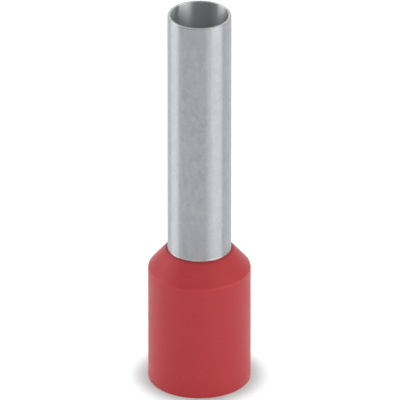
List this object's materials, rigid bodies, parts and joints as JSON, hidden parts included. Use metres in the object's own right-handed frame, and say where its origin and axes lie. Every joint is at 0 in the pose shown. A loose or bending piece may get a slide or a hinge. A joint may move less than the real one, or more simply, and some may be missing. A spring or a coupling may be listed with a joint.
{
  "type": "wire ferrule",
  "caption": "Insulated wire end ferrule: a thin tinned copper sleeve with a belled end, seated in the funnel of a red moulded collar, for crimping onto stranded wire.",
  "frame": {"origin": "centre of the collar's mouth, the flat end that the ferrule stands on", "axes": "+Z along the common axis of the collar and the sleeve, from the collar's mouth towards the sleeve's tip"},
  "size_m": [0.0072, 0.0072, 0.028],
  "materials": {
    "collar": "satin",
    "sleeve": "satin"
  },
  "bodies": {
    "root": {"collar": "collar", "sleeve": "sleeve"}
  },
  "joints": []
}
